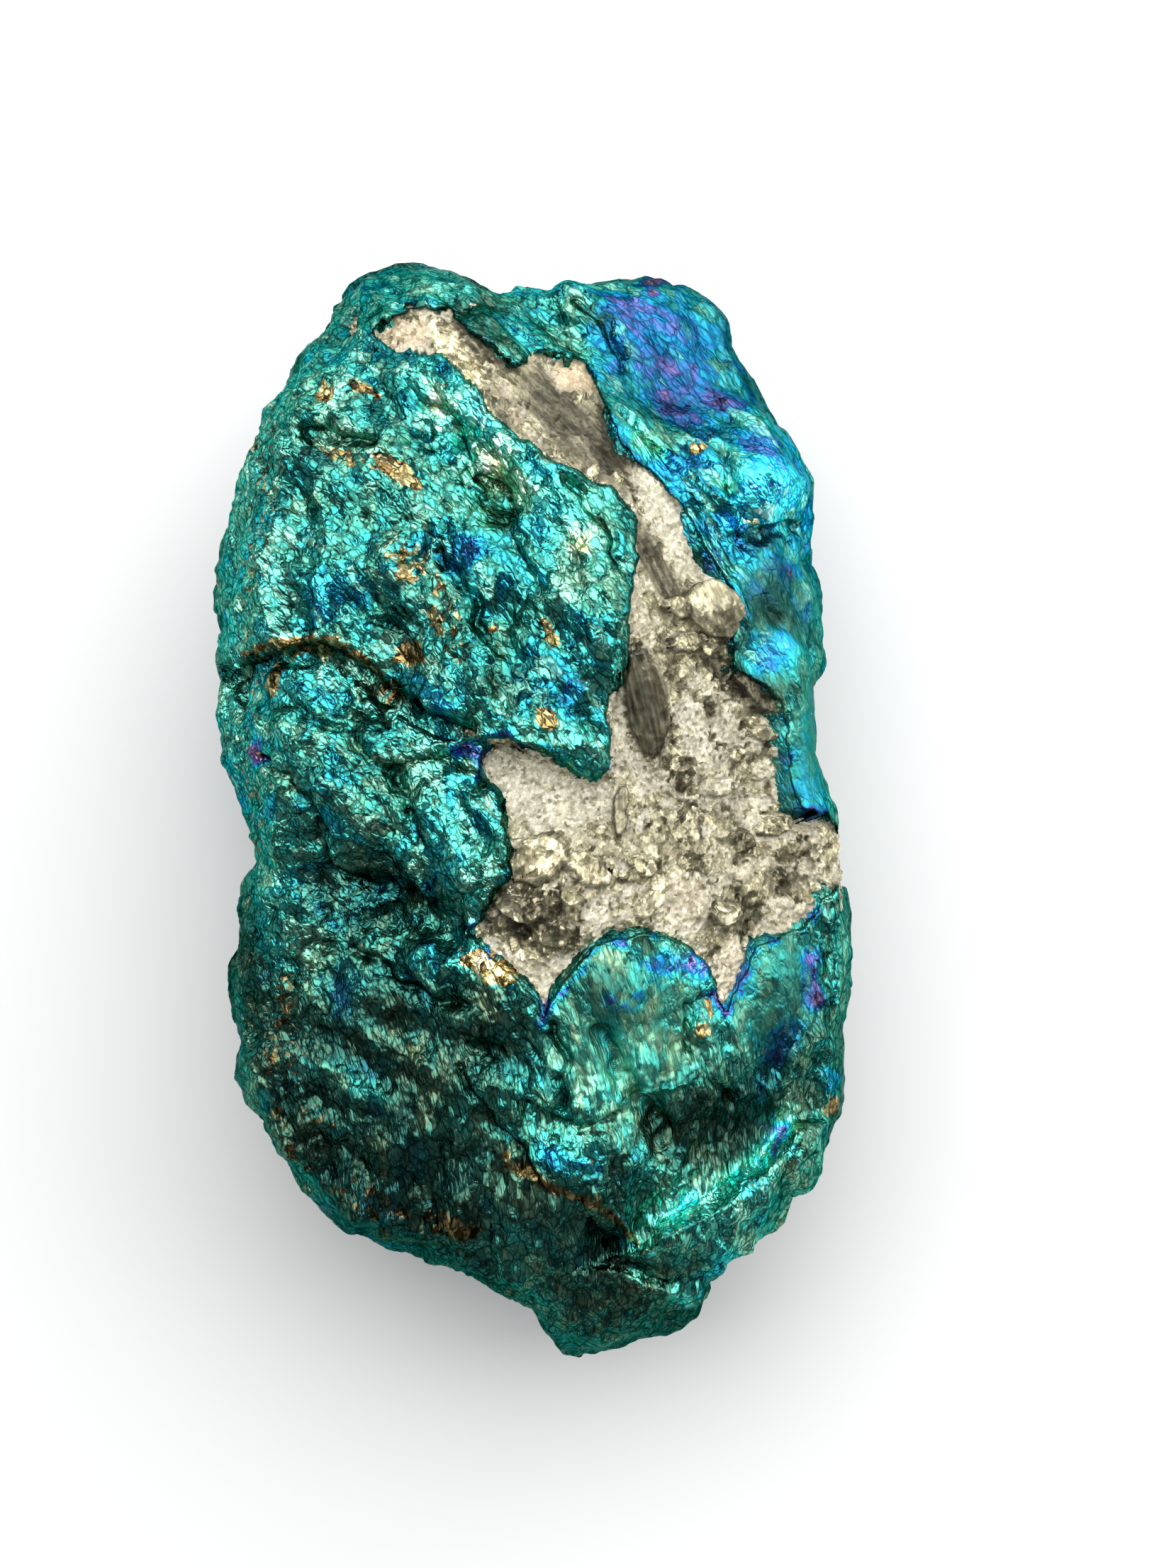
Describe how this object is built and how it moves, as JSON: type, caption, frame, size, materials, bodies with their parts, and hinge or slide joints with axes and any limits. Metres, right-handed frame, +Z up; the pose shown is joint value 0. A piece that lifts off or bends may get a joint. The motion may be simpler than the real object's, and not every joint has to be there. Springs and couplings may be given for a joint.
{
  "type": "chalcopyrite specimen",
  "caption": "Hand-sized rough lump of iridescent tarnished chalcopyrite, broken on all sides, with a sunken band of pale granular matrix; it lies on a small flat spot.",
  "frame": {"origin": "centre of the bounding box in plan, on the floor that the lump rests on", "axes": "+Z is up, out of the shown face; +Y runs along the lump to its crown; +X is to the right, towards the side where the pale band leaves the face"},
  "size_m": [0.0398, 0.0682, 0.0291],
  "materials": {
    "tarnished_chalcopyrite": "metallic teal tarnish with blue, violet and gold patches, finely crinkled",
    "pale_matrix": "sugary, whitish, dull with small glints",
    "brassy_chalcopyrite": "untarnished, brassy and metallic"
  },
  "bodies": {
    "root": {"chalcopyrite": "tarnished_chalcopyrite"}
  },
  "joints": []
}
